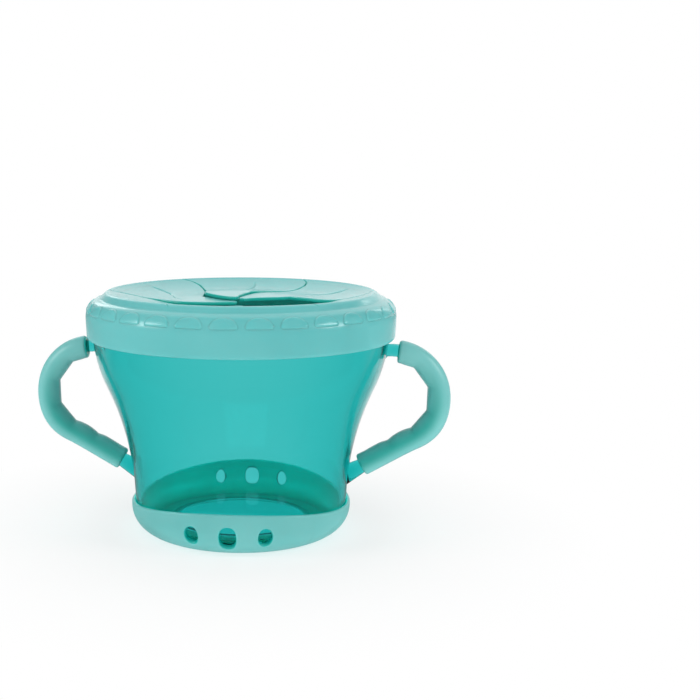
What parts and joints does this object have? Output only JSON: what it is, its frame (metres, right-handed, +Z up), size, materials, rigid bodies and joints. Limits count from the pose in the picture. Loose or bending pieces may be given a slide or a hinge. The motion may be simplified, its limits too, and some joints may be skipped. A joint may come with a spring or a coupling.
{
  "type": "snack container",
  "caption": "Two-handled toddler snack bowl with a soft boot, soft grips and a lift-off lid whose soft flaps bend in to let a small hand reach the snacks.",
  "frame": {"origin": "middle of the base, on the surface that the container stands on", "axes": "+Z up, +X through the right-hand handle, -Y to the front"},
  "size_m": [0.1506, 0.1108, 0.0876],
  "materials": {
    "hard_tinted": "clear tinted injection-moulded plastic, polished",
    "soft_boot": "translucent soft elastomer, satin, overmoulded on the bowl's foot",
    "soft_grip": "translucent soft elastomer, satin, overmoulded on the handle rods",
    "soft_lid": "translucent soft elastomer, satin"
  },
  "bodies": {
    "container": {"bowl": "hard_tinted", "base_boot": "soft_boot", "grip_left": "soft_grip", "grip_right": "soft_grip"},
    "lid": {"lid": "soft_lid"},
    "flap_1": {"flap_1": "soft_lid"},
    "flap_2": {"flap_2": "soft_lid"},
    "flap_3": {"flap_3": "soft_lid"},
    "flap_4": {"flap_4": "soft_lid"},
    "flap_5": {"flap_5": "soft_lid"},
    "flap_6": {"flap_6": "soft_lid"}
  },
  "joints": [
    {"name": "lid_lift", "type": "slide", "parent": "container", "child": "lid", "axis": [0, 0, 1], "range_m": [0, 0.06]},
    {"name": "flap_1_bend", "type": "hinge", "parent": "lid", "child": "flap_1", "pos_m": [0.0345, 0.01992, 0.0856], "axis": [0.5, -0.866, 0], "range_deg": [-30, 60], "stiffness_Nm_per_rad": 0.03},
    {"name": "flap_2_bend", "type": "hinge", "parent": "lid", "child": "flap_2", "pos_m": [0, 0.03984, 0.0856], "axis": [1, 0, 0], "range_deg": [-30, 60], "stiffness_Nm_per_rad": 0.03},
    {"name": "flap_3_bend", "type": "hinge", "parent": "lid", "child": "flap_3", "pos_m": [-0.0345, 0.01992, 0.0856], "axis": [0.5, 0.866, 0], "range_deg": [-30, 60], "stiffness_Nm_per_rad": 0.03},
    {"name": "flap_4_bend", "type": "hinge", "parent": "lid", "child": "flap_4", "pos_m": [-0.0345, -0.01992, 0.0856], "axis": [-0.5, 0.866, 0], "range_deg": [-30, 60], "stiffness_Nm_per_rad": 0.03},
    {"name": "flap_5_bend", "type": "hinge", "parent": "lid", "child": "flap_5", "pos_m": [0, -0.03984, 0.0856], "axis": [-1, 0, 0], "range_deg": [-30, 60], "stiffness_Nm_per_rad": 0.03},
    {"name": "flap_6_bend", "type": "hinge", "parent": "lid", "child": "flap_6", "pos_m": [0.0345, -0.01992, 0.0856], "axis": [-0.5, -0.866, 0], "range_deg": [-30, 60], "stiffness_Nm_per_rad": 0.03}
  ]
}
